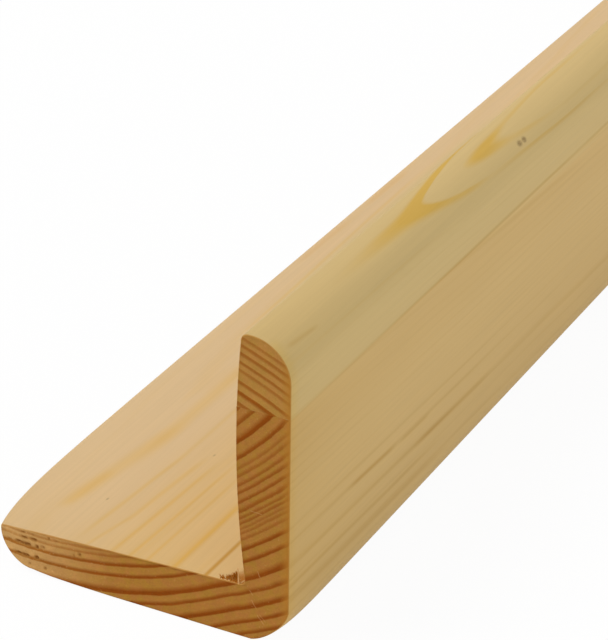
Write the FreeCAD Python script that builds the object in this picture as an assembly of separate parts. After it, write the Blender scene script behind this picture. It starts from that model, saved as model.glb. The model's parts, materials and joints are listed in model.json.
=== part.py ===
import FreeCAD, Part
import os

# Angle moulding in planed pine, made of two lamellae glued face to face, in millimetres.
# X runs across the flat leg and the upright leg's outer face is at +X. Y runs along the
# length. Z is up, and the flat leg's underside is at Z = 0. The origin is the centre of
# the overall box on the floor.

# Driving dimensions
length = 1000.0
flat_leg_width = 35.0
upright_leg_height = 34.0

# Leg thicknesses: the flat leg tapers to its toe, and the upright leg has a slight belly
flat_leg_root_thickness = 6.15
flat_leg_toe_thickness = 4.95
upright_leg_root_thickness = 4.85
upright_leg_crest_thickness = 5.35
upright_leg_belly = 0.8

# Roundings that the moulder's knives leave along the length
heel_radius = 4.2
inner_corner_radius = 0.5
crest_arris_radius = 0.8
toe_arris_radius = 0.4
tip_flat = 0.15

# Height of the glue line between the two lamellae
glue_line_height = 26.0

# Places that follow from the driving dimensions
outer_x = flat_leg_width / 2
toe_x = -flat_leg_width / 2
near_y = -length / 2
corner_x = outer_x - upright_leg_root_thickness
crest_x = outer_x - upright_leg_crest_thickness
belly_x = (corner_x + crest_x) / 2 - upright_leg_belly
belly_z = (flat_leg_root_thickness + upright_leg_height) / 2

# Each leg's tip is one large outer rounding, a narrow flat and a small inner arris
crest_round = upright_leg_crest_thickness - tip_flat - crest_arris_radius
toe_round = flat_leg_toe_thickness - tip_flat - toe_arris_radius


def section_point(x, z):
    return FreeCAD.Vector(x, near_y, z)


def line(start, end):
    return Part.makeLine(start, end)


def sharp_section():
    # the angle's section at the near end, before its edges are rounded
    heel = section_point(outer_x, 0)
    crest_outer = section_point(outer_x, upright_leg_height)
    crest_inner = section_point(crest_x, upright_leg_height)
    belly = section_point(belly_x, belly_z)
    corner = section_point(corner_x, flat_leg_root_thickness)
    toe_top = section_point(toe_x, flat_leg_toe_thickness)
    toe_bottom = section_point(toe_x, 0)
    inner_face = Part.Arc(crest_inner, belly, corner).toShape()
    edges = [
        line(heel, crest_outer),
        line(crest_outer, crest_inner),
        inner_face,
        line(corner, toe_top),
        line(toe_top, toe_bottom),
        line(toe_bottom, heel),
    ]
    return Part.Face(Part.Wire(edges))


def edge_along(solid, x, z):
    # the long edge that passes through the section point (x, z)
    middle = FreeCAD.Vector(x, 0, z)
    return min(solid.Edges, key=lambda edge: edge.CenterOfMass.distanceToPoint(middle))


def rounded(solid, x, z, radius):
    return solid.makeFillet(radius, [edge_along(solid, x, z)])


def moulded_length():
    # the whole moulding as it leaves the moulder, with the glue line not yet cut
    solid = sharp_section().extrude(FreeCAD.Vector(0, length, 0))
    solid = rounded(solid, outer_x, 0, heel_radius)
    solid = rounded(solid, corner_x, flat_leg_root_thickness, inner_corner_radius)
    solid = rounded(solid, outer_x, upright_leg_height, crest_round)
    solid = rounded(solid, crest_x, upright_leg_height, crest_arris_radius)
    solid = rounded(solid, toe_x, 0, toe_round)
    return rounded(solid, toe_x, flat_leg_toe_thickness, toe_arris_radius)


def space_above_glue_line():
    corner = FreeCAD.Vector(toe_x, near_y, glue_line_height)
    return Part.makeBox(flat_leg_width, length, upright_leg_height, corner)


def save(shape, node):
    solid = shape.Solids[0]
    solid.exportStep("parts/" + node + ".step")
    print(node, "volume", round(solid.Volume / 1000, 2), "cm3", "valid", solid.isValid())


os.makedirs("parts", exist_ok=True)
moulding = moulded_length()
save(moulding.cut(space_above_glue_line()), "heel_lamella")
save(moulding.common(space_above_glue_line()), "crest_lamella")
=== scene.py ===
import json
import math
import random
import bmesh
import bpy
from mathutils import Matrix, Vector, noise

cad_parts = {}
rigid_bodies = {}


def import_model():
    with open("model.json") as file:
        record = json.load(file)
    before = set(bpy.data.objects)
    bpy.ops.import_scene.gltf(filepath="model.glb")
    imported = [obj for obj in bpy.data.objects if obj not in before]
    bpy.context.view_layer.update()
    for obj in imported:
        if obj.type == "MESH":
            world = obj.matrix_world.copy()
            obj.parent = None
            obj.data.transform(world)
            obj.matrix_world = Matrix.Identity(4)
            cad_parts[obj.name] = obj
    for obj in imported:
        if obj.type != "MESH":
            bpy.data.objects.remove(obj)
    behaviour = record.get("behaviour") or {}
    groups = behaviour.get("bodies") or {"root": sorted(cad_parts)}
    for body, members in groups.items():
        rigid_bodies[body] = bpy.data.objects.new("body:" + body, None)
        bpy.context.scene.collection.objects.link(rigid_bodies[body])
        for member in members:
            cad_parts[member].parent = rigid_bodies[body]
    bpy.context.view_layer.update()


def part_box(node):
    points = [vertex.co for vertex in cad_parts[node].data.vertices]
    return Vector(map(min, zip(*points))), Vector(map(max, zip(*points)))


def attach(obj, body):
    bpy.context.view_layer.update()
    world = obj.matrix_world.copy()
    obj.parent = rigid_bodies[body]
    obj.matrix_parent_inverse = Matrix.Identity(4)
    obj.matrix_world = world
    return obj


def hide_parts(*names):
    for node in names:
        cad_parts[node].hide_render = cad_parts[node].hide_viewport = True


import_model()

metre = 0.001  # the wood is worked in millimetres, and each finished mesh is scaled to metres
creaseAngle = math.radians(75)  # an edge that turns more than this, as at the glue line, is shaded sharp
samePlace = 0.001  # how near two places in the section or along the length count as one, in mm
cutReach = 1e-4  # how near a cut takes a point that is there already, in mm
endLook = 0.99  # how squarely a face has to look along the length to be the flat of a sawn end
heelLow, heelHigh = (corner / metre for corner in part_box("heel_lamella"))
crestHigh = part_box("crest_lamella")[1] / metre

# The moulder's section: the box comes from the frame, the knives give the rest.
moulding = {
    "toe": heelLow.x, "outer": heelHigh.x, "near": heelLow.y, "far": heelHigh.y,
    "glueLine": heelHigh.z, "top": crestHigh.z,
    "flatRoot": 6.15, "flatToe": 4.95,            # the flat leg tapers to its toe
    "uprightRoot": 4.85, "uprightCrest": 5.35, "belly": 0.8,
    "heelRadius": 4.2, "insideRadius": 0.5, "crestArris": 0.8, "toeArris": 0.4, "tipFlat": 0.15,
    "bigSteps": 20, "smallSteps": 8, "bellySteps": 20,
    "endArris": 0.2, "endArrisSteps": 4,          # the sawn ends, eased by handling
    "nearGrid": 0.14, "farGrid": 0.5,             # how finely the end grain is divided
}

# Where the faces are divided, so that wear can bend them: the heel board lengthwise, both crosswise.
stations = {
    "acrossToe": (-17.0, -16.5, -15.8, -15.0, -14.0, -13.0, -11.5, -10.0, -7.0, -3.0),
    "insideCorner": (9.6, 9.9, 10.2, 10.5, 10.8, 11.1, 11.4, 11.7, 12.0),
    "aboveHeel": (5.5, 7.0, 9.0),
    "fromNear": (0.25, 0.5, 0.75, 1.0, 1.3, 1.6, 2.0, 2.5, 3.0, 4.0, 5.0, 6.5, 8.0, 10.0, 12.5, 15.0,
                 20.0, 30.0, 50.0, 80.0),
    "middle": 100.0,
    "fromFar": (50.0, 20.0, 8.0, 3.0, 1.0),
}

# The ends are knocked in a little: how far the toe and the heel give way, and over what depth.
wear = {
    "near": {"toeIn": 1.75, "toeFade": 5.5, "toeLift": 0.5, "heelIn": 0.58, "heelFade": 2.8},
    "far": {"toeIn": 0.4, "toeFade": 3.0, "toeLift": 0.1, "heelIn": 0.25, "heelFade": 2.0},
    "toeReach": 9.0, "liftReach": 4.5,
}

# Growth rings about a pith outside the section: each has a distance, a width and a strength, and past
# the outermost they repeat. The bend says how a ring's distance shifts along the length, less where the
# wood is calm: from and to across the section, and the share left. A rise is a dip in the stem that
# shows as a flame: from and to along the length, and its height. A lift pushes the rings out: angles in
# degrees, its amounts there, and distances. Slow and ripple say where a wave starts and is full, and its
# amounts there.
heelGrain = {
    "pith": (-11.0, 47.0),
    "rings": (
        (31.2, 0.45, 0.80), (32.4, 0.45, 0.80), (33.85, 0.60, 1.00), (35.2, 0.45, 0.90),
        (36.1, 0.30, 0.45), (36.8, 0.35, 0.55), (37.6, 0.32, 0.65), (38.3, 0.32, 0.75),
        (39.15, 0.32, 0.80), (40.0, 0.40, 0.75), (40.6, 0.28, 0.60), (41.1, 0.28, 0.65),
        (41.6, 0.24, 0.42), (42.05, 0.26, 0.50), (42.65, 0.28, 0.50), (43.7, 0.42, 0.95),
        (44.95, 0.42, 0.95), (46.8, 0.70, 1.00), (47.95, 0.42, 0.90), (49.55, 0.60, 1.00),
        (51.0, 0.45, 0.95), (52.25, 0.42, 0.85),
    ),
    "repeat": (30.6, 52.6), "bend": -6.5, "bendLength": 250.0, "calm": (5.0, 17.0, 0.42), "rises": (),
    "lifts": ((17, 27, 0.3, 0.0, 0.0, 1.0), (26, 35, 0.0, 0.33, 47.0, 48.2)),
    "slow": (0.0, 60.0, 0.2, 1.4), "ripple": (0.0, 14.0, 0.1, 0.5), "waver": 0.28,
}
crestGrain = {
    "pith": (-9.5, -26.0),
    "rings": (
        (56.7, 0.45, 0.80), (57.85, 0.50, 1.00), (58.9, 0.38, 0.80), (60.1, 0.34, 0.58),
        (60.9, 0.30, 0.75), (61.85, 0.36, 0.75), (62.7, 0.36, 0.70), (63.45, 0.32, 0.55),
        (64.80, 0.45, 1.00), (65.52, 0.26, 1.00), (66.7, 0.40, 0.70), (67.9, 0.40, 0.60),
    ),
    "repeat": (56.1, 68.2), "bend": 0.35, "bendLength": 50.0, "calm": (-20.0, -19.0, 1.0),
    "rises": ((27.5, 51.5, 0.78), (49.0, 72.0, 0.36)), "lifts": ((158.0, 160.3, 0.0, 0.2, 63.6, 64.0),),
    "slow": (85.0, 200.0, 0.05, 1.4), "ripple": (85.0, 120.0, 0.05, 0.5), "waver": 0.12,
}
# How a ring's dark wood starts and fills, in ring widths inside the ring, and how it ends, in mm
# outside.
endProfile = {"start": 1.25, "full": 0.45, "end": 0.1}
longProfile = {"start": 0.7, "full": 0.25, "end": 0.06}

# Pits that the saw tore in the toe's end grain: angle about the pith, distance from it, half length, half
# width and depth.
tornPits = (
    (-2.66, 42.94, 0.38, 0.13, 0.20), (-1.12, 42.86, 0.42, 0.15, 0.26), (-4.81, 43.66, 0.25, 0.11, 0.14),
    (-3.35, 43.62, 0.55, 0.15, 0.30), (-2.20, 43.64, 0.50, 0.18, 0.32), (-0.56, 43.61, 0.20, 0.20, 0.28),
    (-3.50, 44.98, 0.40, 0.17, 0.22), (-2.40, 45.02, 0.45, 0.20, 0.26), (-0.67, 44.89, 0.24, 0.21, 0.32),
    (0.30, 43.43, 0.30, 0.11, 0.20), (0.58, 45.94, 0.14, 0.13, 0.22), (1.35, 42.20, 0.12, 0.17, 0.20),
    (6.14, 43.29, 0.16, 0.18, 0.24), (-2.87, 42.32, 0.22, 0.09, 0.14), (-1.24, 42.32, 0.12, 0.11, 0.14),
    (-1.75, 45.89, 0.16, 0.09, 0.14), (5.20, 43.50, 0.14, 0.11, 0.16), (2.60, 42.30, 0.18, 0.09, 0.12),
)

# Torn fibres that stand in the inside corner at the photographed end, and one pale sliver beside them.
burr = {
    "seed": 7, "count": 240, "left": 9.5, "corner": 11.9, "back": 1.4, "slant": 0.6, "inset": 0.1,
    "gather": 1.7, "thinOut": 1.2,                # how they crowd to the corner and to the end
    "length": (0.15, 0.55), "thickness": (0.03, 0.06), "sides": 5, "taper": 0.4, "sunk": 0.1,
    "leanLeft": 0.9, "leanBack": 0.7,
    "darkest": 1.0, "usual": 0.8, "palest": 0.35,   # 0 is sound wood
    "sliver": {"root": (11.92, 0.12, 6.0), "tip": (11.8, 0.16, 7.8), "thickness": 0.1},
    "strip": (0.976, 0.996), "stripFrom": 0.01, "stripLength": 0.98, "stripShare": 0.7,  # on the map
}

# What the saw leaves on the ends, in mm: the earlywood sinks, all is rough, and the pits are uneven.
sawing = {
    "sink": 0.045, "rough": 0.03, "fineness": 4.0,
    "pitLeast": 0.8, "pitMore": 0.5, "pitFineness": 5.0, "pitSlice": 7.0, "pitFull": 0.18,
}

# How the faces share the baked map: the long faces below, both ends side by side above.
bakedMap = {"edge": 0.004, "sideHeight": 0.6, "room": 1.02, "endLook": 0.5}


def ease(value, low, high):
    # 0 below low, 1 above high, smooth between
    share = min(max((value - low) / (high - low), 0.0), 1.0)
    return share * share * (3 - 2 * share)


def everything(bm):
    return bm.verts[:] + bm.edges[:] + bm.faces[:]


def roundCorner(bm, place, radius, steps):
    corner = min(bm.verts, key=lambda vert: (vert.co.x - place[0]) ** 2 + (vert.co.z - place[1]) ** 2)
    ways = [edge.other_vert(corner).co - corner.co for edge in corner.link_edges]
    reach = radius / math.tan(ways[0].angle(ways[1]) / 2)
    bmesh.ops.bevel(bm, geom=[corner], offset=reach, offset_type="OFFSET", segments=steps,
                    profile=0.5, affect="VERTICES", clamp_overlap=False, material=-1)


def drawSection(bm):
    m = moulding
    insideX, crestX = m["outer"] - m["uprightRoot"], m["outer"] - m["uprightCrest"]
    places = {
        "heel": (m["outer"], 0),
        "crestOuter": (m["outer"], m["top"]), "crestInner": (crestX, m["top"]),
        "inside": (insideX, m["flatRoot"]),
        "toeTop": (m["toe"], m["flatToe"]), "toeBottom": (m["toe"], 0),
    }
    corners = [bm.verts.new((x, m["near"], z)) for x, z in places.values()]
    bm.faces.new(corners)

    # the upright leg's inner face bows out a little between its two corners
    innerEdge = bm.edges.get((corners[2], corners[3]))
    divided = bmesh.ops.subdivide_edges(bm, edges=[innerEdge], cuts=m["bellySteps"])
    for vert in (item for item in divided["geom_inner"] if isinstance(item, bmesh.types.BMVert)):
        up = (vert.co.z - m["flatRoot"]) / (m["top"] - m["flatRoot"])
        vert.co.x -= 4 * m["belly"] * up * (1 - up)

    tipRound = {"crestOuter": m["uprightCrest"] - m["tipFlat"] - m["crestArris"],
                "toeBottom": m["flatToe"] - m["tipFlat"] - m["toeArris"]}
    roundCorner(bm, places["heel"], m["heelRadius"], m["bigSteps"])
    roundCorner(bm, places["inside"], m["insideRadius"], m["smallSteps"])
    roundCorner(bm, places["crestOuter"], tipRound["crestOuter"], m["bigSteps"])
    roundCorner(bm, places["crestInner"], m["crestArris"], m["smallSteps"])
    roundCorner(bm, places["toeBottom"], tipRound["toeBottom"], m["bigSteps"])
    roundCorner(bm, places["toeTop"], m["toeArris"], m["smallSteps"])


def cut(bm, geometry, axis, place, **keep):
    normal = Vector((axis == "x", axis == "y", axis == "z"))
    return bmesh.ops.bisect_plane(bm, geom=geometry, dist=cutReach, plane_co=normal * place,
                                  plane_no=normal, **keep)


def measureAround(bm):
    # how far each point of the outline lies round the section, for the baked map
    around = bm.verts.layers.float.new("around")
    face = bm.faces[:][0]
    run = 0.0
    for loop in face.loops:
        loop.vert[around] = run
        run += loop.edge.calc_length()
    return run


def isEnd(face):
    return abs(face.normal.y) > endLook


def isEndEdge(edge):
    # an edge of the sawn end that shows, so not the one along the glue line
    onGlue = all(abs(vert.co.z - moulding["glueLine"]) < samePlace for vert in edge.verts)
    return isEnd(edge.link_faces[0]) != isEnd(edge.link_faces[1]) and not onGlue


def endFaces(bm, y):
    return [face for face in bm.faces
            if isEnd(face) and abs(face.calc_center_median().y - y) < samePlace]


def geometryOf(faces):
    edges = {edge for face in faces for edge in face.edges}
    verts = {vert for face in faces for vert in face.verts}
    return list(verts) + list(edges) + list(faces)


def divideEnd(bm, y, spacing):
    # the end grain gets a fine square grid of its own
    geometry = geometryOf(endFaces(bm, y))
    for axis, index in (("x", 0), ("z", 2)):
        reach = [item.co[index] for item in geometry if isinstance(item, bmesh.types.BMVert)]
        low, high = min(reach), max(reach)
        steps = int((high - low) / spacing)
        for step in range(1, steps):
            geometry = cut(bm, geometry, axis, low + (high - low) * step / steps)["geom"]


def buildLamella(aboveGlueLine):
    m = moulding
    bm = bmesh.new()
    drawSection(bm)
    cut(bm, everything(bm), "z", m["glueLine"],
        clear_outer=not aboveGlueLine, clear_inner=aboveGlueLine)
    outlineLength = measureAround(bm)
    if not aboveGlueLine:
        for x in stations["acrossToe"] + stations["insideCorner"]:
            cut(bm, everything(bm), "x", x)
        for z in stations["aboveHeel"]:
            cut(bm, everything(bm), "z", z)

    pulled = bmesh.ops.extrude_face_region(bm, geom=bm.faces[:])
    farVerts = [item for item in pulled["geom"] if isinstance(item, bmesh.types.BMVert)]
    bmesh.ops.translate(bm, vec=(0, m["far"] - m["near"], 0), verts=farVerts)
    bmesh.ops.recalc_face_normals(bm, faces=bm.faces[:])

    ends = [edge for edge in bm.edges if isEndEdge(edge)]
    bmesh.ops.bevel(bm, geom=ends, offset=m["endArris"], offset_type="OFFSET", affect="EDGES",
                    segments=m["endArrisSteps"], profile=0.5, material=-1)
    places = [m["near"] + step for step in stations["fromNear"]]
    spans = int((m["far"] - m["near"]) / stations["middle"])
    places += [m["near"] + stations["middle"] * span for span in range(1, spans)]
    places += [m["far"] - step for step in stations["fromFar"]]
    for y in places:
        cut(bm, everything(bm), "y", y)
    divideEnd(bm, m["near"], m["nearGrid"])
    divideEnd(bm, m["far"], m["farGrid"])
    return bm, outlineLength


def wornPlace(co):
    # where the wear at the two ends leaves a point of the sharp moulding
    m = moulding
    x, y, z = co
    for end, deep in (("near", y - m["near"]), ("far", m["far"] - y)):
        w = wear[end]
        toeFade, heelFade = math.exp(-deep / w["toeFade"]), math.exp(-deep / w["heelFade"])
        inward = 1 - ease(co.x, m["toe"], m["toe"] + wear["toeReach"])
        x += w["toeIn"] * toeFade * inward
        low = max(1 - co.z / m["flatToe"], 0)
        past = max(co.x - m["toe"] - wear["toeReach"] / 2, 0)
        z += w["toeLift"] * toeFade * low * math.exp(-past / wear["liftReach"])
        across, down = co.x - (m["outer"] - m["heelRadius"]), m["heelRadius"] - co.z
        if across > 0 and down > 0:
            inHeel = min(2 * across * down / m["heelRadius"] ** 2, 1.0) * math.sqrt(0.5)
            x -= w["heelIn"] * heelFade * inHeel
            z += w["heelIn"] * heelFade * inHeel
    return Vector((x, y, z))


def ringDistance(grain, x, z):
    return math.hypot(x - grain["pith"][0], z - grain["pith"][1])


def latewood(grain, distance):
    # how hard the wood is at that distance from the pith, from 0 to 1
    for ring, width, strength in grain["rings"]:
        start, full = ring - endProfile["start"] * width, ring - endProfile["full"] * width
        if start < distance <= ring:
            return strength * min((distance - start) / (full - start), 1.0)
    return 0.0


def pitDepth(x, z):
    # how deep the toe's end grain is torn, in millimetres
    pith = heelGrain["pith"]
    distance = ringDistance(heelGrain, x, z)
    angle = math.degrees(math.atan2(x - pith[0], pith[1] - z))
    depth = 0.0
    for pitAngle, pitDistance, halfLength, halfWidth, pitDeep in tornPits:
        along = math.radians(angle - pitAngle) * distance / halfLength
        across = (distance - pitDistance) / halfWidth
        depth = max(depth, pitDeep * math.exp(-along ** 4 - across ** 2))
    return depth


def finishEnds(bm, grain):
    # the saw leaves the earlywood a little lower than the latewood, and tears pits in the near toe
    m = moulding
    tornShare = bm.verts.layers.float.new("torn")
    for vert in bm.verts:
        vert.co = wornPlace(vert.co)
    for y, inward in ((m["near"], 1), (m["far"], -1)):
        verts = {vert for face in endFaces(bm, y) for vert in face.verts}
        for vert in verts:
            x, z = vert.co.x, vert.co.z
            hard = latewood(grain, ringDistance(grain, x, z))
            rough = 0.5 + 0.5 * noise.noise(Vector((x, y, z)) * sawing["fineness"])
            depth = sawing["sink"] * (1 - hard) + sawing["rough"] * rough
            if inward > 0 and grain is heelGrain:
                uneven = noise.noise(Vector((x, sawing["pitSlice"], z)) * sawing["pitFineness"])
                pit = pitDepth(x, z) * (sawing["pitLeast"] + sawing["pitMore"] * uneven)
                depth += pit
                vert[tornShare] = min(pit / sawing["pitFull"], 1.0)
            vert.co.y += inward * depth


def layOut(bm, outlineLength):
    # the map that the finish is baked through: both ends large, the long faces squeezed along the grain
    m = moulding
    around = bm.verts.layers.float["around"]
    uv = bm.loops.layers.uv.new("OFBake")
    xs, zs = [vert.co.x for vert in bm.verts], [vert.co.z for vert in bm.verts]
    lowX, lowZ = min(xs), min(zs)
    width, height, length = max(xs) - lowX, max(zs) - lowZ, m["far"] - m["near"]
    edge, sideHeight = bakedMap["edge"], bakedMap["sideHeight"]
    scale = min((0.5 - 1.5 * edge) / width, (1 - sideHeight - 2 * edge) / height)
    for face in bm.faces:
        if abs(face.normal.y) > bakedMap["endLook"]:
            far = face.calc_center_median().y > 0
            for loop in face.loops:
                u = edge + far * 0.5 + (loop.vert.co.x - lowX) * scale
                loop[uv].uv = (u, sideHeight + edge + (loop.vert.co.z - lowZ) * scale)
            continue
        runs = [loop.vert[around] for loop in face.loops]
        for loop, run in zip(face.loops, runs):
            if max(runs) - run > outlineLength / 2:
                run += outlineLength
            u = edge + (1 - 2 * edge) * (loop.vert.co.y - m["near"]) / length
            v = edge + (sideHeight - 2 * edge) * run / (outlineLength * bakedMap["room"])
            loop[uv].uv = (u, v)


def flatTop(x):
    # how high the flat leg's sloping top is there
    m = moulding
    share = (x - m["toe"]) / (m["outer"] - m["uprightRoot"] - m["toe"])
    return m["flatToe"] + (m["flatRoot"] - m["flatToe"]) * share


def raiseFibre(bm, root, tip, thickness, darkness, share):
    # one torn fibre, with its own small place on the baked map
    along = tip - root
    place = Matrix.Translation((root + tip) / 2) @ along.to_track_quat("Z", "Y").to_matrix().to_4x4()
    made = bmesh.ops.create_cone(bm, cap_ends=True, cap_tris=True, segments=burr["sides"],
                                 radius1=thickness, radius2=thickness * burr["taper"],
                                 depth=along.length, matrix=place)
    fibre, uv = bm.verts.layers.float["fibre"], bm.loops.layers.uv["OFBake"]
    for vert in made["verts"]:
        vert[fibre] = darkness
    low, high = burr["strip"]
    for face in {face for vert in made["verts"] for face in vert.link_faces}:
        for index, loop in enumerate(face.loops):
            up = (loop.vert.co - root).dot(along) / along.length_squared
            shift = burr["stripShare"] * (index % 2) / (burr["count"] + 1)
            u = burr["stripFrom"] + burr["stripLength"] * (share + shift)
            loop[uv].uv = (u, low + (high - low) * min(max(up, 0.0), 1.0))


def raiseBurr(bm):
    bm.verts.layers.float.new("fibre")
    dice = random.Random(burr["seed"])
    near, count = moulding["near"], burr["count"]
    for index in range(count):
        deep = burr["back"] * dice.random() ** burr["thinOut"]
        right = burr["corner"] - burr["slant"] * deep
        left = burr["left"] + (right - burr["left"]) * deep / burr["back"]
        x = right - (right - left) * dice.random() ** burr["gather"]
        root = Vector((x, near + burr["inset"] + deep, flatTop(x) - burr["sunk"]))
        toLeft, toBack = dice.uniform(0.0, burr["leanLeft"]), dice.uniform(0.0, burr["leanBack"])
        lean = Vector((-toLeft, toBack, 1.0)).normalized()
        length = dice.uniform(*burr["length"])
        darkness = dice.uniform(burr["usual"], burr["darkest"])
        raiseFibre(bm, root, root + lean * length, dice.uniform(*burr["thickness"]), darkness,
                   index / (count + 1))
    sliver = burr["sliver"]
    root, tip = (Vector(sliver[end]) + Vector((0, near, 0)) for end in ("root", "tip"))
    raiseFibre(bm, root, tip, sliver["thickness"], burr["palest"], count / (count + 1))


def makePiece(name, bm, body, node, material):
    mesh = bpy.data.meshes.new(name)
    bmesh.ops.scale(bm, vec=(metre, metre, metre), verts=bm.verts)
    bmesh.ops.recalc_face_normals(bm, faces=bm.faces[:])
    for face in bm.faces:
        face.smooth = True
    for edge in bm.edges:
        edge.smooth = edge.calc_face_angle(0.0) < creaseAngle
    bm.to_mesh(mesh)
    bm.free()
    piece = bpy.data.objects.new(name, mesh)
    bpy.context.scene.collection.objects.link(piece)
    mesh.materials.append(material)
    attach(piece, body)
    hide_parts(node)
    print("made", name, len(mesh.polygons), "faces")


markCore, streakCore = 0.2, 0.5  # how much of a mark or a streak is full before it fades
ringsPerRamp, rampMargin = 7, 0.02  # a ramp takes 32 stops, and each ring takes four


class Wire:
    # one socket of a finish, so that a pattern reads as a sum
    def __init__(self, finish, socket):
        self.finish, self.socket = finish, socket

    def __add__(self, other):
        return self.finish.maths("ADD", self, other)

    __radd__ = __add__

    def __mul__(self, other):
        return self.finish.maths("MULTIPLY", self, other)

    __rmul__ = __mul__

    def __sub__(self, other):
        return self.finish.maths("SUBTRACT", self, other)

    def __rsub__(self, other):
        return self.finish.maths("SUBTRACT", other, self)

    def __truediv__(self, other):
        return self.finish.maths("DIVIDE", self, other)

    def __rtruediv__(self, other):
        return self.finish.maths("DIVIDE", other, self)

    def __pow__(self, other):
        return self.finish.maths("POWER", self, other)


class Finish:
    # the nodes of a material or of the world, and the ways they are laid
    def __init__(self, owner, shader):
        owner.use_nodes = True
        self.tree = owner.node_tree
        self.shader = self.tree.nodes[shader]

    def node(self, kind, settings, inputs, output=0):
        # one node: its settings first, then the values or links of its sockets
        made = self.tree.nodes.new(kind)
        for name, value in settings.items():
            if name == "stops":
                layStops(made.color_ramp, value)
            else:
                setattr(made, name, value)
        for name, value in inputs.items():
            if isinstance(value, Wire):
                self.tree.links.new(value.socket, made.inputs[name])
            else:
                made.inputs[name].default_value = value
        return Wire(self, made.outputs[output])

    def maths(self, operation, *values):
        return self.node("ShaderNodeMath", {"operation": operation}, dict(enumerate(values)))

    def between(self, value, low, high, toLow=0.0, toHigh=1.0):
        # toLow below low, toHigh above high, smooth between
        limits = {"Value": value, 1: low, 2: high, 3: toLow, 4: toHigh}
        return self.node("ShaderNodeMapRange", {"interpolation_type": "SMOOTHSTEP"}, limits)

    def blend(self, share, first, second, way="MIX"):
        # sockets 0, 6 and 7 are the share and the two colours, and 2 is the colour that comes out
        kind = {"data_type": "RGBA", "blend_type": way}
        return self.node("ShaderNodeMix", kind, {0: share, 6: first, 7: second}, 2)

    def stretched(self, place, across, along):
        # the place in steps that are longer along the grain than across it
        size = (1 / across, 1 / along, 1 / across)
        return self.node("ShaderNodeVectorMath", {"operation": "MULTIPLY"}, {0: place, 1: size})

    def cloud(self, place, across, along, detail=2.0, roughness=0.5):
        inputs = {"Vector": self.stretched(place, across, along), "Scale": 1.0, "Detail": detail,
                  "Roughness": roughness}
        return self.node("ShaderNodeTexNoise", {}, inputs) - 0.5

    def spot(self, place, middle, reach):
        # 1 in the middle of an oval patch, 0 past its edge
        offset = self.node("ShaderNodeVectorMath", {"operation": "SUBTRACT"}, {0: place, 1: middle})
        scaled = self.node("ShaderNodeVectorMath", {"operation": "DIVIDE"}, {0: offset, 1: reach})
        length = self.node("ShaderNodeVectorMath", {"operation": "LENGTH"}, {0: scaled}, "Value")
        return self.between(length, markCore, 1.0, 1.0, 0.0)

    def stroke(self, first, second, start, end, halfWidth):
        # 1 along a straight mark from start to end, on any two axes
        length = math.dist(start, end)
        cosine, sine = (end[0] - start[0]) / length, (end[1] - start[1]) / length
        along = (first - start[0]) * cosine + (second - start[1]) * sine - length / 2
        across = (second - start[1]) * cosine - (first - start[0]) * sine
        along, across = self.maths("ABSOLUTE", along), self.maths("ABSOLUTE", across)
        inLength = self.between(along, length / 2 - halfWidth, length / 2 + halfWidth, 1.0, 0.0)
        return inLength * self.between(across, markCore * halfWidth, halfWidth, 1.0, 0.0)

    def streak(self, across, deep, start, end, width):
        # 1 along a soft line from start to end, which fades towards both
        line = (deep - start[1]) * ((end[0] - start[0]) / (end[1] - start[1])) + start[0]
        inWidth = self.between(self.maths("ABSOLUTE", across - line), 0.0, width, 1.0, 0.0)
        half = (end[1] - start[1]) / 2
        fromMiddle = self.maths("ABSOLUTE", deep - (start[1] + half))
        return inWidth * self.between(fromMiddle, streakCore * half, half, 1.0, 0.0)

    def scaled(self, colour, factor):
        return self.node("ShaderNodeVectorMath", {"operation": "SCALE"}, {0: colour, "Scale": factor})

    def show(self, output, result):
        self.tree.links.new(result.socket, self.tree.nodes[output].inputs["Surface"])

    def feed(self, name, value):
        self.tree.links.new(value.socket, self.shader.inputs[name])


def layStops(ramp, stops):
    # the ramp's own two stops are used first, because it can't be without them
    for place, value in stops[2:]:
        ramp.elements.new(place)
    for element, (place, value) in zip(ramp.elements, sorted(stops)):
        element.position = place
        element.color = (value, value, value, 1)


def tone(red, green, blue):
    # a colour as a screen shows it, from 0 to 255, turned into the linear light that Blender mixes
    shares = [value / 255 for value in (red, green, blue)]
    return tuple(share / 12.92 if share < 0.04045 else ((share + 0.055) / 1.055) ** 2.4
                 for share in shares) + (1.0,)


def ringLines(f, distance, grain, profile):
    # the dark wood of all rings, a ramp for each few of them
    low, high = grain["repeat"]
    wrapped = f.maths("WRAP", distance, high, low)
    total = 0.0
    for first in range(0, len(grain["rings"]), ringsPerRamp):
        group = grain["rings"][first:first + ringsPerRamp]
        start = group[0][0] - group[0][1] * profile["start"] - rampMargin
        end = group[-1][0] + profile["end"] + rampMargin
        stops = [(0.0, 0.0), (1.0, 0.0)]
        for ring, width, strength in group:
            shape = ((ring - width * profile["start"], 0.0), (ring - width * profile["full"], strength),
                     (ring, strength), (ring + profile["end"], 0.0))
            stops += [((place - start) / (end - start), value) for place, value in shape]
        share = (wrapped - start) / (end - start)
        total = total + f.node("ShaderNodeValToRGB", {"stops": stops}, {"Fac": share})
    return total


# How unevenly a stem grows: cloud sizes across and along the grain in mm, and for the wandering, which
# starts past the first 80 mm, where it grows and to how many mm.
stem = {
    "wander": (30.0, 260.0), "wandering": (80.0, 240.0, 0.0, 7.0),
    "slow": (9.0, 110.0), "ripple": (7.0, 26.0), "waver": (1.6, 40.0, 3.0, 0.6),
}


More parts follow.
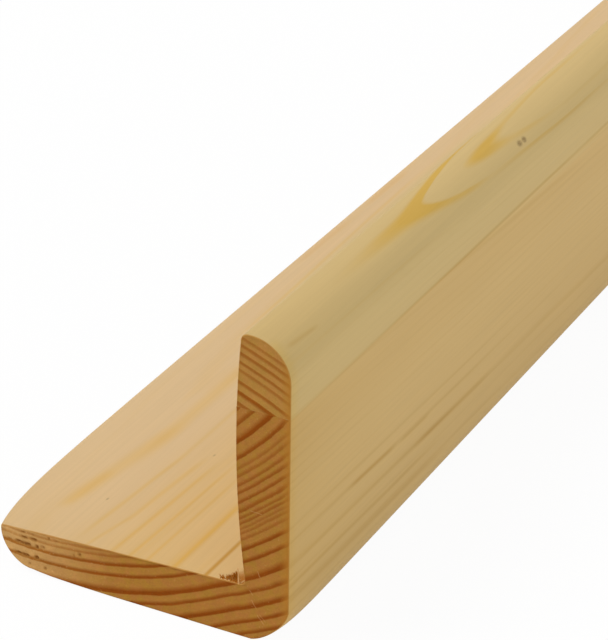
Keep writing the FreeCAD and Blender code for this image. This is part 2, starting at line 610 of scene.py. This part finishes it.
def growthField(f, place, x, y, z, grain):
    # distance from the pith, with the stem's bends and dips and the rings' own waver
    deep = y - moulding["near"]
    toX, toZ = x - grain["pith"][0], z - grain["pith"][1]
    distance = (toX * toX + toZ * toZ) ** 0.5
    angle = f.maths("ARCTAN2", toX, 0.0 - toZ)
    field = distance
    for fromAngle, toAngle, fromLift, toLift, inner, outer in grain["lifts"]:
        lift = f.between(angle, math.radians(fromAngle), math.radians(toAngle), fromLift, toLift)
        field = field - lift * f.between(distance, inner, outer)
    calmFrom, calmTo, calmShare = grain["calm"]
    bend = f.maths("SINE", deep / grain["bendLength"]) * grain["bend"]
    field = field + bend * f.between(x, calmFrom, calmTo, calmShare, 1.0)
    for start, end, rise in grain["rises"]:
        field = field + f.between(deep, start, end, 0.0, rise)
    wander = f.cloud(place, *stem["wander"]) * f.between(deep, *stem["wandering"])
    slow = f.cloud(place, *stem["slow"]) * f.between(deep, *grain["slow"])
    ripple = f.cloud(place, *stem["ripple"]) * f.between(deep, *grain["ripple"])
    waver = f.cloud(place, *stem["waver"]) * grain["waver"]
    return field + wander + slow + ripple + waver


# What each board's wood looks like. A mark says where the ring lines show strongly on a long face: place
# from the near end in mm, reach each way, and strength. A fleck is a stained place, given in the same
# way. A streak is one soft line, on the flat leg's top or on the upright leg's side: start and end, each
# across the face and from the near end in mm, then width, strength and tint. A scratch lies on the near
# end: start, end and half its width. Showing is the least and the most that the rings show elsewhere, and
# nearShare how much the wood has darkened towards its ends, on top and on the side.
heelPine = {
    "first": tone(218, 188, 144), "second": tone(216, 183, 130), "secondFrom": (-8.0, 1.0),
    "side": tone(214, 182, 122), "sideFrom": (12.2, 16.8),
    "early": tone(172, 114, 53), "earlyOther": tone(168, 121, 46), "earlyToe": tone(202, 156, 95),
    "late": tone(140, 70, 6), "lateToe": tone(162, 100, 32),
    "brownPlace": (10.0, 16.0), "brownAxis": "x", "showing": (0.06, 0.22), "nearShare": (0.85, 1.2),
    "marks": (),
    "topStreaks": (
        ((-12.2, 4.0), (-9.0, 28.0), 1.6, 0.40, "honey"),
        ((-9.5, 14.0), (-9.2, 60.0), 1.4, 0.40, "honey"),
        ((-12.0, 5.0), (-10.8, 15.0), 1.1, 0.35, "honey"),
        ((-7.1, 0.0), (-5.4, 22.0), 0.5, 0.45, "honey"),
        ((-5.6, 14.0), (-5.4, 45.0), 0.5, 0.30, "honey"),
        ((-5.8, -2.0), (-4.0, 8.0), 0.4, 0.40, "honey"),
        ((-4.3, 4.0), (-3.0, 22.0), 0.5, 0.45, "honey"),
        ((-2.8, -4.0), (-1.3, 22.0), 0.5, 0.55, "honey"),
        ((-0.8, -8.0), (0.45, 23.0), 0.45, 0.55, "honey"),
        ((1.5, -8.0), (2.05, 21.0), 0.4, 0.50, "honey"),
        ((4.6, -9.0), (4.8, 18.0), 0.65, 0.85, "honey"),
        ((8.1, -8.0), (8.3, 13.0), 0.42, 1.0, "brown"),
        ((8.1, -8.0), (8.3, 10.0), 0.35, 0.5, "honey"),
        ((-13.6, 42.0), (-14.8, 104.0), 0.4, 0.35, "honey"),
        ((-13.2, 46.0), (-13.4, 130.0), 1.6, 0.9, "cool"),
        ((-16.7, 67.0), (-16.5, 83.0), 0.7, 0.8, "rosy"),
        ((-16.6, 86.0), (-16.4, 100.0), 0.7, 0.7, "rosy"),
    ),
    "sideStreaks": (
        ((12.4, -4.0), (10.5, 52.0), 0.5, 0.22, "brown"),
        ((11.8, 12.0), (11.25, 25.0), 0.5, 0.60, "brown"),
        ((11.2, 24.0), (10.9, 33.0), 0.5, 0.40, "brown"),
        ((9.85, -8.0), (8.25, 42.0), 0.5, 0.42, "brown"),
        ((8.6, 27.0), (8.25, 50.0), 0.6, 0.45, "brown"),
        ((8.45, 44.0), (7.1, 95.0), 0.6, 0.14, "brown"),
        ((7.7, -8.0), (6.2, 38.0), 0.5, 0.45, "brown"),
        ((5.9, -8.0), (4.5, 40.0), 0.6, 0.42, "brown"),
        ((13.9, -4.0), (12.4, 50.0), 0.5, 0.14, "brown"),
        ((26.2, 30.0), (24.0, 76.0), 0.6, 0.26, "brown"),
        ((23.5, -90.0), (23.5, 300.0), 6.0, 0.12, "brown"),
        ((26.1, 34.0), (25.4, 150.0), 1.1, 0.8, "pale"),
    ),
    "flecks": (((-8.3, 8.9, 5.2), (0.2, 0.4, 0.4), 0.5), ((-2.7, 21.7, 5.4), (0.2, 0.4, 0.4), 0.5)),
    "scratches": (
        ((14.05, 8.2), (14.33, 7.49), 0.07), ((13.16, 5.74), (13.53, 5.23), 0.07),
        ((13.38, 4.65), (13.89, 3.81), 0.07), ((14.02, 3.09), (14.75, 2.18), 0.08),
        ((13.2, 14.85), (14.5, 14.78), 0.06), ((14.3, 3.2), (14.95, 2.5), 0.05),
    ),
}
crestPine = {
    "first": tone(207, 179, 123), "second": tone(207, 179, 123), "secondFrom": (10.0, 12.0),
    "side": tone(209, 182, 124), "sideFrom": (14.0, 18.0),
    "early": tone(179, 126, 62), "earlyOther": tone(175, 130, 58), "earlyToe": tone(177, 126, 62),
    "late": tone(146, 80, 16), "lateToe": tone(146, 80, 16),
    "brownPlace": (32.2, 30.6), "brownAxis": "z", "showing": (0.04, 0.15), "nearShare": (0.5, 0.5),
    "marks": (
        ((14.7, 31.0, 33.8), (3.5, 19.0, 1.6), 1.25), ((15.9, 41.0, 32.6), (2.5, 10.0, 1.2), 0.55),
        ((16.7, 63.0, 31.5), (2.0, 22.0, 0.9), 0.45), ((12.8, 39.0, 34.0), (2.2, 8.0, 0.8), 0.65),
        ((12.6, 47.0, 34.0), (1.6, 13.0, 0.8), 0.65), ((14.6, 50.0, 33.8), (2.8, 9.0, 1.4), 0.90),
        ((13.2, 66.0, 34.0), (2.4, 22.0, 0.7), 0.40), ((15.5, 62.0, 33.1), (1.8, 12.0, 0.8), 0.30),
        ((16.9, 20.0, 31.6), (1.5, 26.0, 0.8), 0.25),
    ),
    "topStreaks": (),
    "sideStreaks": (((32.75, 1.0), (32.5, 8.0), 0.25, 0.40, "brown"),),
    "flecks": (((16.4, 56.3, 32.5), (0.8, 0.8, 0.42), 0.7), ((16.4, 57.5, 32.5), (0.8, 0.7, 0.42), 0.7)),
    "scratches": (),
}
pineTints = {
    "honey": (0.985, 0.85, 0.42, 1.0), "brown": (0.80, 0.68, 0.42, 1.0),
    "nearEnd": (0.92, 0.88, 0.79, 1.0), "nearEndFade": 13.0,  # darker towards the sawn ends
    "cutEdge": (1.0, 0.96, 0.80, 1.0), "cutEdgeReach": 2.0,   # and yellower right at them
    "cool": (0.93, 0.98, 0.87, 1.0), "rosy": (1.0, 0.93, 0.82, 1.0), "pale": (1.0, 1.06, 1.12, 1.0),
    "arris": tone(182, 136, 70), "arrisShare": 0.5,
}
# A painted highlight: a golden band along the outer edge of each sawn end, standing in for light on its
# soft arris.
paintedEdgeHighlight = {"tone": tone(178, 120, 42), "from": 16.3, "to": 17.5, "share": 0.75}
torn = {
    "pit": tone(142, 88, 34), "darkFibre": tone(174, 103, 14), "paleFibre": tone(208, 160, 102),
    "speck": tone(214, 174, 112), "fleck": tone(112, 86, 54),
    "stain": ((12.0, 0.5, 6.3), (2.1, 3.2, 1.5)), "stainTone": tone(168, 108, 38),
    "stainCloud": (0.3, 0.5), "stainRange": (-0.3, 0.0),
    "pitRange": (-0.3, 0.1, 0.45, 0.95), "fleckRange": (-0.25, 0.1, 0.4, 1.0), "fibreFrom": (0.05, 0.2),
}
# How the planed faces look. Cloud sizes are across and along the grain in mm, and a range is where a mask
# starts and is full, then its values there.
planed = {
    "patches": (2.2, 26.0), "patchRange": (-0.2, 0.25), "endShowing": (0.0, 7.0, 0.1, 0.0),
    "wobble": (1.6, 30.0), "wobbleReach": 0.6, "topLook": (0.6, 0.9), "sideLook": (0.35, 0.6),
    "glueReach": (0.06, 0.36, 1.0, 0.0), "glueCloud": (3.0, 30.0), "glueRange": (-0.2, 0.2, 0.15, 0.6),
    "innerShade": (-0.6, -0.05, 0.93, 1.0),
    "fine": (0.35, 22.0, 3.0, 0.6), "fineShare": 0.12, "broad": (9.0, 45.0), "broadShare": 0.05,
}
# How the sawn ends look, with what the toe has more of.
sawn = {
    "endRange": (0.25, 0.75), "arrisRange": (0.25, 0.5), "arrisEnds": (0.9, 0.985, 1.0, 0.0),
    "toeRange": (-16.0, 0.0, 1.0, 0.0), "patches": (0.9, 0.9), "patchRange": (-0.25, 0.25),
    "blotches": (1.2, 1.2, 3.0, 0.6), "blotchShare": 0.25, "blotchToe": 0.3,
    "grit": (0.16, 0.16, 3.0, 0.7), "gritShare": 0.4, "scratchShare": 0.4,
    "specks": (0.2, 0.2, 1.0), "speckRange": (0.16, 0.26), "speckShare": 0.15, "speckToe": 0.45,
}
# How matt the wood is, and how deep its grain feels, in metres.
touch = {
    "roughness": 0.58, "sawnRoughness": 0.25, "grainRoughness": 0.12, "specular": 0.08,
    "fineRelief": 0.5, "gritRelief": 0.8, "strength": 0.25, "depth": 0.00006,
}


def fromNear(place):
    return (place[0], place[1] + moulding["near"], place[2])


def layStreaks(f, colour, streaks, across, deep, mask):
    for start, end, width, strength, tint in streaks:
        share = f.streak(across, deep, start, end, width) * mask * strength
        colour = f.blend(share, colour, pineTints[tint], "MULTIPLY")
    return colour


def longFaces(f, place, x, y, z, facing, field, grain, pine):
    # the planed faces: the rings show faintly, and strongly only here and there
    deep = y - moulding["near"]
    fromEnd = f.maths("MINIMUM", deep, moulding["far"] - y)
    colour = f.blend(f.between(x, *pine["secondFrom"]), pine["first"], pine["second"])
    colour = f.blend(f.between(x, *pine["sideFrom"]), colour, pine["side"])
    late = ringLines(f, field, grain, longProfile)
    patches = f.cloud(place, *planed["patches"])
    showing = f.between(patches, *planed["patchRange"], *pine["showing"])
    showing = showing + f.between(fromEnd, *planed["endShowing"])
    for middle, reach, strength in pine["marks"]:
        showing = showing + f.spot(place, fromNear(middle), reach) * strength
    brownAxis = x if pine["brownAxis"] == "x" else z
    tint = f.blend(f.between(brownAxis, *pine["brownPlace"]), pineTints["honey"], pineTints["brown"])
    colour = f.blend(late * showing, colour, tint, "MULTIPLY")

    wobble = f.cloud(place, *planed["wobble"]) * planed["wobbleReach"]
    onTop = f.between(facing["Z"], *planed["topLook"])
    onSide = f.between(facing["X"], *planed["sideLook"])
    colour = layStreaks(f, colour, pine["topStreaks"], x + wobble, deep, onTop)
    colour = layStreaks(f, colour, pine["sideStreaks"], z + wobble, deep, onSide)
    fromGlue = f.maths("ABSOLUTE", z - moulding["glueLine"])
    nearGlue = f.between(fromGlue, *planed["glueReach"])
    gluePatches = f.between(f.cloud(place, *planed["glueCloud"]), *planed["glueRange"])
    colour = f.blend(nearGlue * gluePatches, colour, pineTints["brown"], "MULTIPLY")

    # painted shade darkens the faces that look towards the toe, such as the upright leg's inner face, and
    # the wood has darkened towards its ends
    colour = f.scaled(colour, f.between(facing["X"], *planed["innerShade"]))
    onTopShare, onSideShare = pine["nearShare"]
    darkened = f.maths("EXPONENT", fromEnd * (-1 / pineTints["nearEndFade"]))
    darkened = darkened * (onSide * (onSideShare - onTopShare) + onTopShare)
    colour = f.blend(darkened, colour, pineTints["nearEnd"], "MULTIPLY")
    atCut = f.between(fromEnd, 0.0, pineTints["cutEdgeReach"], 1.0, 0.0) * onSide
    return f.blend(atCut, colour, pineTints["cutEdge"], "MULTIPLY")


def sawnEnds(f, place, x, z, grit, field, grain, pine):
    # dark rings in brown earlywood, paler and more golden towards the toe, with a painted golden
    # highlight along the outer edge
    toeShare = f.between(x, *sawn["toeRange"])
    patches = f.between(f.cloud(place, *sawn["patches"]), *sawn["patchRange"])
    early = f.blend(patches, pine["early"], pine["earlyOther"])
    early = f.blend(toeShare, early, pine["earlyToe"])
    dark = f.blend(toeShare, pine["late"], pine["lateToe"])
    colour = f.blend(ringLines(f, field, grain, endProfile), early, dark)
    blotches = f.cloud(place, *sawn["blotches"]) * (sawn["blotchShare"] + sawn["blotchToe"] * toeShare)
    colour = f.scaled(colour, 1.0 + grit * sawn["gritShare"] + blotches)
    specks = f.between(f.cloud(place, *sawn["specks"]), *sawn["speckRange"])
    specks = specks * (sawn["speckShare"] + sawn["speckToe"] * toeShare)
    colour = f.blend(specks, colour, torn["speck"])
    for start, end, halfWidth in pine["scratches"]:
        scratch = f.stroke(x, z, start, end, halfWidth) * sawn["scratchShare"]
        colour = f.blend(scratch, colour, torn["paleFibre"])
    # painted highlight: the outer edge of the end is turned golden, as if lit
    edge = f.between(x, paintedEdgeHighlight["from"], paintedEdgeHighlight["to"]) * paintedEdgeHighlight["share"]
    return f.blend(edge, colour, paintedEdgeHighlight["tone"])


def tearMarks(f, place, grit, isEndGrain, colour):
    # what the saw tore at the near end: the stained corner, the pits and the fibres
    middle, reach = torn["stain"]
    broken = f.between(f.cloud(place, *torn["stainCloud"]), *torn["stainRange"])
    stained = f.spot(place, fromNear(middle), reach) * broken
    colour = f.blend(stained * (1.0 - isEndGrain), colour, torn["stainTone"])
    pits = f.node("ShaderNodeAttribute", {"attribute_name": "torn"}, {}, "Fac")
    colour = f.blend(pits * f.between(grit, *torn["pitRange"]), colour, torn["pit"])
    fibre = f.node("ShaderNodeAttribute", {"attribute_name": "fibre"}, {}, "Fac")
    darkness = f.between(fibre, burr["palest"], burr["darkest"])
    fibreTone = f.blend(darkness, torn["paleFibre"], torn["darkFibre"])
    return f.blend(f.between(fibre, *torn["fibreFrom"]), colour, fibreTone)


def makePine(name, grain, pine):
    material = bpy.data.materials.new(name)
    f = Finish(material, "Principled BSDF")
    metres = f.node("ShaderNodeTexCoord", {}, {}, "Object")
    place = f.node("ShaderNodeVectorMath", {"operation": "SCALE"}, {0: metres, "Scale": 1 / metre})
    x, y, z = (f.node("ShaderNodeSeparateXYZ", {}, {0: place}, axis) for axis in "XYZ")
    normal = f.node("ShaderNodeNewGeometry", {}, {}, "Normal")
    facing = {axis: f.node("ShaderNodeSeparateXYZ", {}, {0: normal}, axis) for axis in "XYZ"}
    facingEnd = f.maths("ABSOLUTE", facing["Y"])
    isEndGrain = f.between(facingEnd, *sawn["endRange"])
    isArris = f.between(facingEnd, *sawn["arrisRange"]) * f.between(facingEnd, *sawn["arrisEnds"])
    field = growthField(f, place, x, y, z, grain)
    fineGrain = f.cloud(place, *planed["fine"])
    grit = f.cloud(place, *sawn["grit"])

    long = longFaces(f, place, x, y, z, facing, field, grain, pine)
    broadGrain = f.cloud(place, *planed["broad"])
    long = f.scaled(long, 1.0 + fineGrain * planed["fineShare"] + broadGrain * planed["broadShare"])
    colour = f.blend(isEndGrain, long, sawnEnds(f, place, x, z, grit, field, grain, pine))
    colour = f.blend(isArris * pineTints["arrisShare"], colour, pineTints["arris"])
    for middle, reach, strength in pine["flecks"]:
        broken = f.between(grit, *torn["fleckRange"])
        stained = f.spot(place, fromNear(middle), reach) * broken * strength
        colour = f.blend(stained, colour, torn["fleck"])
    if grain is heelGrain:
        colour = tearMarks(f, place, grit, isEndGrain, colour)
    f.feed("Base Color", colour)
    roughness = touch["roughness"] + isEndGrain * touch["sawnRoughness"]
    f.feed("Roughness", roughness + fineGrain * touch["grainRoughness"])
    f.shader.inputs["Specular IOR Level"].default_value = touch["specular"]
    height = fineGrain * touch["fineRelief"] * (1.0 - isEndGrain)
    height = height + grit * touch["gritRelief"] * isEndGrain
    bump = {"Height": height, "Strength": touch["strength"], "Distance": touch["depth"]}
    f.feed("Normal", f.node("ShaderNodeBump", {}, bump))
    return material


def clearStart():
    for thing in list(bpy.data.objects):
        if thing.name in ("Cube", "Light", "Camera"):
            bpy.data.objects.remove(thing)


clearStart()
lamellae = {
    "heelBoard": {"above": False, "node": "heel_lamella", "slot": "heel_pine",
                  "grain": heelGrain, "pine": heelPine},
    "crestBoard": {"above": True, "node": "crest_lamella", "slot": "crest_pine",
                   "grain": crestGrain, "pine": crestPine},
}
for name, board in lamellae.items():
    shape, outlineLength = buildLamella(board["above"])
    layOut(shape, outlineLength)
    finishEnds(shape, board["grain"])
    if not board["above"]:
        raiseBurr(shape)
    material = makePine(board["slot"], board["grain"], board["pine"])
    makePiece(name, shape, "root", board["node"], material)
print("boards made")

# A white sweep in soft light: strengths, where each lamp stands, and how many degrees wide it looks.
studio = {
    "floorSize": 60.0, "floorTone": (0.94, 0.938, 0.932, 1.0), "floorRoughness": 0.9, "whiteShare": 0.95,
    "worldStrength": 0.4,
    "keyPower": 1.8, "keyFrom": (-0.9, -0.35, 1.6), "keySoftness": 35.0,
    "fillPower": 0.7, "fillFrom": (1.2, -0.7, 0.8), "fillSoftness": 60.0,
}


def seenDirectly(f):
    # 1 for the camera's own rays and for what gloss and glass would mirror
    rays = [f.node("ShaderNodeLightPath", {}, {}, way)
            for way in ("Is Camera Ray", "Is Glossy Ray", "Is Transmission Ray")]
    return f.maths("MAXIMUM", f.maths("MAXIMUM", rays[0], rays[1]), rays[2])


def layFloor():
    bm = bmesh.new()
    bmesh.ops.create_grid(bm, x_segments=1, y_segments=1, size=studio["floorSize"] / 2)
    mesh = bpy.data.meshes.new("floor")
    bm.to_mesh(mesh)
    bm.free()
    floor = bpy.data.objects.new("floor", mesh)
    bpy.context.scene.collection.objects.link(floor)
    mesh.materials.append(bpy.data.materials.new("paleFloor"))
    f = Finish(mesh.materials[0], "Principled BSDF")
    f.shader.inputs["Base Color"].default_value = studio["floorTone"]
    f.shader.inputs["Roughness"].default_value = studio["floorRoughness"]
    f.shader.inputs["Specular IOR Level"].default_value = 0.0
    white = f.node("ShaderNodeEmission", {}, {"Color": (1, 1, 1, 1), "Strength": 1.0})
    whiteShare = seenDirectly(f) * studio["whiteShare"]
    lit = Wire(f, f.shader.outputs[0])
    f.show("Material Output", f.node("ShaderNodeMixShader", {}, {0: whiteShare, 1: lit, 2: white}))


def lightWorld():
    world = bpy.data.worlds.new("studioWorld")
    bpy.context.scene.world = world
    f = Finish(world, "Background")
    f.shader.inputs["Color"].default_value = (1, 1, 1, 1)
    f.shader.inputs["Strength"].default_value = studio["worldStrength"]
    white = f.node("ShaderNodeBackground", {}, {"Color": (1, 1, 1, 1), "Strength": 1.0})
    lit = Wire(f, f.shader.outputs[0])
    f.show("World Output", f.node("ShaderNodeMixShader", {}, {0: seenDirectly(f), 1: lit, 2: white}))


def hangLamp(name, power, source, softness):
    lamp = bpy.data.lights.new(name, "SUN")
    lamp.energy = power
    lamp.angle = math.radians(softness)
    lampObject = bpy.data.objects.new(name, lamp)
    bpy.context.scene.collection.objects.link(lampObject)
    lampObject.rotation_euler = Vector(source).to_track_quat("Z", "Y").to_euler()


# Place in metres, angles in degrees, lens in mm, and the nearest and farthest that it sees.
camera = {
    "place": (0.121443, -0.703184, 0.155217),
    "azimuth": 26.812, "elevation": 27.437, "roll": 0.804, "lens": 156.578, "clip": (0.01, 100.0),
}


def aimCamera():
    azimuth, elevation, roll = (math.radians(camera[key]) for key in ("azimuth", "elevation", "roll"))
    back = Vector((math.sin(azimuth) * math.cos(elevation), -math.cos(azimuth) * math.cos(elevation),
                   math.sin(elevation)))
    level = Vector((math.cos(azimuth), math.sin(azimuth), 0))
    right = Matrix.Rotation(roll, 3, back) @ level
    turned = Matrix((right, back.cross(right), back)).transposed()
    data = bpy.data.cameras.new("camera")
    data.lens = camera["lens"]
    data.clip_start, data.clip_end = camera["clip"]
    eye = bpy.data.objects.new("camera", data)
    bpy.context.scene.collection.objects.link(eye)
    eye.matrix_world = Matrix.Translation(camera["place"]) @ turned.to_4x4()
    bpy.context.scene.camera = eye


layFloor()
lightWorld()
hangLamp("keyLamp", studio["keyPower"], studio["keyFrom"], studio["keySoftness"])
hangLamp("fillLamp", studio["fillPower"], studio["fillFrom"], studio["fillSoftness"])
aimCamera()
bpy.context.scene.view_settings.view_transform = "Standard"
print("studio set")
